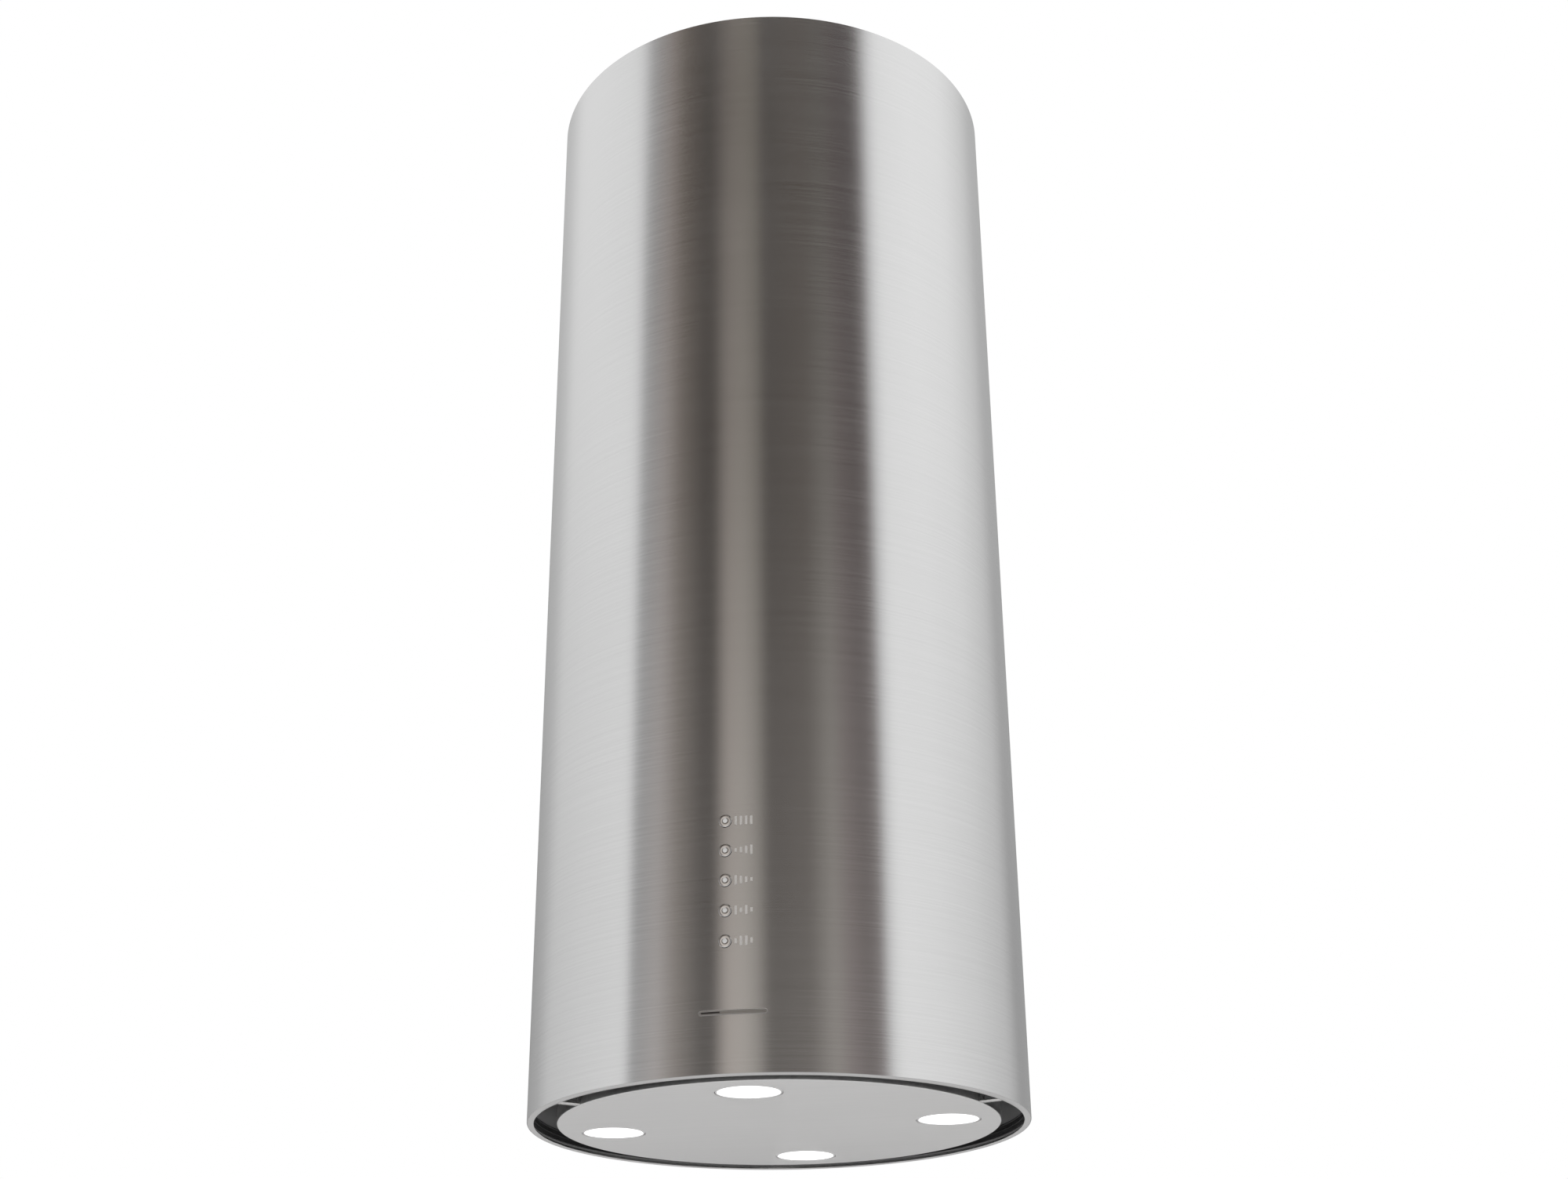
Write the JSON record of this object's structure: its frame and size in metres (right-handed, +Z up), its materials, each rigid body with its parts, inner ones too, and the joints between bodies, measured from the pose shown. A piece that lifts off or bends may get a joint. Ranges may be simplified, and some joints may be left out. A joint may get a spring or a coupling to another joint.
{
  "type": "island range hood",
  "caption": "Ceiling-hung cylindrical range hood with a perimeter suction gap, round lamp panel, push buttons, blower and steel hanging frame.",
  "frame": {"origin": "on the tube's axis in the ceiling plane, at the ceiling plate's top face", "axes": "+Z up along the tube's axis; -Y is the front, where the push buttons are; +X is to the right seen from the front"},
  "size_m": [0.38, 0.381, 0.9],
  "materials": {
    "brushed_stainless": "fine brushed",
    "galvanised_steel": "zinc coated",
    "spring_steel": "bright",
    "filter_aluminium": "mill",
    "chrome": "polished",
    "grey_painted_steel": "satin",
    "black_plastic": "matte",
    "badge_grey": "satin",
    "frosted_glass": "frosted",
    "board_green": "solder mask",
    "cable_grey": "matte"
  },
  "bodies": {
    "hood": {"outer_tube": "brushed_stainless", "badge_plate": "badge_grey", "base_ring": "grey_painted_steel", "filter_hook_left": "spring_steel", "filter_hook_right": "spring_steel", "filter_frame": "filter_aluminium", "filter_mesh": "filter_aluminium", "latch_strap": "galvanised_steel", "spring_clip_left": "spring_steel", "spring_clip_right": "spring_steel", "hinge_bracket": "spring_steel", "hinge_pin": "chrome", "lamp_lead": "cable_grey", "blower_casing": "galvanised_steel", "scroll_housing": "galvanised_steel", "motor": "grey_painted_steel", "motor_bracket": "galvanised_steel", "motor_lead": "cable_grey", "outlet_collar": "galvanised_steel", "damper_pin": "chrome", "ceiling_plate": "galvanised_steel", "button_carrier": "black_plastic", "switch_board": "board_green", "switch_lead": "cable_grey", "control_box": "galvanised_steel", "control_box_lid": "galvanised_steel", "mains_gland": "black_plastic", "capacitor": "black_plastic", "lower_angle_front_right": "galvanised_steel", "upper_angle_front_right": "galvanised_steel", "lower_angle_rear_right": "galvanised_steel", "upper_angle_rear_right": "galvanised_steel", "lower_angle_rear_left": "galvanised_steel", "upper_angle_rear_left": "galvanised_steel", "lower_angle_front_left": "galvanised_steel", "upper_angle_front_left": "galvanised_steel"},
    "lamp_panel": {"bottom_panel": "brushed_stainless", "hinge_leaf": "spring_steel", "lamp_harness": "cable_grey", "panel_tab_left": "spring_steel", "panel_tab_right": "spring_steel", "lamp_can_front": "chrome", "lamp_lens_front": "frosted_glass", "lamp_can_right": "chrome", "lamp_lens_right": "frosted_glass", "lamp_can_rear": "chrome", "lamp_lens_rear": "frosted_glass", "lamp_can_left": "chrome", "lamp_lens_left": "frosted_glass"},
    "blower_wheel": {"impeller": "galvanised_steel", "motor_shaft": "chrome"},
    "front_flap": {"damper_front": "galvanised_steel"},
    "rear_flap": {"damper_rear": "galvanised_steel"},
    "latch": {"filter_latch": "spring_steel"},
    "handle": {"filter_handle": "spring_steel"},
    "button_power": {"button_power": "chrome"},
    "button_speed_up": {"button_speed_up": "chrome"},
    "button_speed_down": {"button_speed_down": "chrome"},
    "button_timer": {"button_timer": "chrome"},
    "button_light": {"button_light": "chrome"}
  },
  "joints": [
    {"name": "panel_hinge", "type": "hinge", "parent": "hood", "child": "lamp_panel", "pos_m": [-0.03082, 0.1748, -0.893], "axis": [0.9848, 0.1736, 0], "range_deg": [0, 90]},
    {"name": "wheel_spin", "type": "hinge", "parent": "hood", "child": "blower_wheel", "pos_m": [0, -0.0575, -0.692], "axis": [1, 0, 0], "continuous": true},
    {"name": "front_flap_swing", "type": "hinge", "parent": "hood", "child": "front_flap", "pos_m": [0, 0, -0.5367], "axis": [-1, 0, 0], "range_deg": [0, 80]},
    {"name": "rear_flap_swing", "type": "hinge", "parent": "hood", "child": "rear_flap", "pos_m": [0, 0, -0.5367], "axis": [1, 0, 0], "range_deg": [0, 80]},
    {"name": "latch_slide", "type": "slide", "parent": "hood", "child": "latch", "axis": [0.7071, -0.7071, 0], "range_m": [0, 0.008], "stiffness_N_per_m": 300, "springref_m": -0.004},
    {"name": "handle_swing", "type": "hinge", "parent": "hood", "child": "handle", "pos_m": [0.0898, -0.0898, -0.8545], "axis": [0.7071, 0.7071, 0], "range_deg": [-80, 80]},
    {"name": "power_press", "type": "slide", "parent": "hood", "child": "button_power", "axis": [0, 1, 0], "range_m": [0, 0.0015], "stiffness_N_per_m": 600, "springref_m": -0.0005},
    {"name": "speed_up_press", "type": "slide", "parent": "hood", "child": "button_speed_up", "axis": [0, 1, 0], "range_m": [0, 0.0015], "stiffness_N_per_m": 600, "springref_m": -0.0005},
    {"name": "speed_down_press", "type": "slide", "parent": "hood", "child": "button_speed_down", "axis": [0, 1, 0], "range_m": [0, 0.0015], "stiffness_N_per_m": 600, "springref_m": -0.0005},
    {"name": "timer_press", "type": "slide", "parent": "hood", "child": "button_timer", "axis": [0, 1, 0], "range_m": [0, 0.0015], "stiffness_N_per_m": 600, "springref_m": -0.0005},
    {"name": "light_press", "type": "slide", "parent": "hood", "child": "button_light", "axis": [0, 1, 0], "range_m": [0, 0.0015], "stiffness_N_per_m": 600, "springref_m": -0.0005}
  ]
}
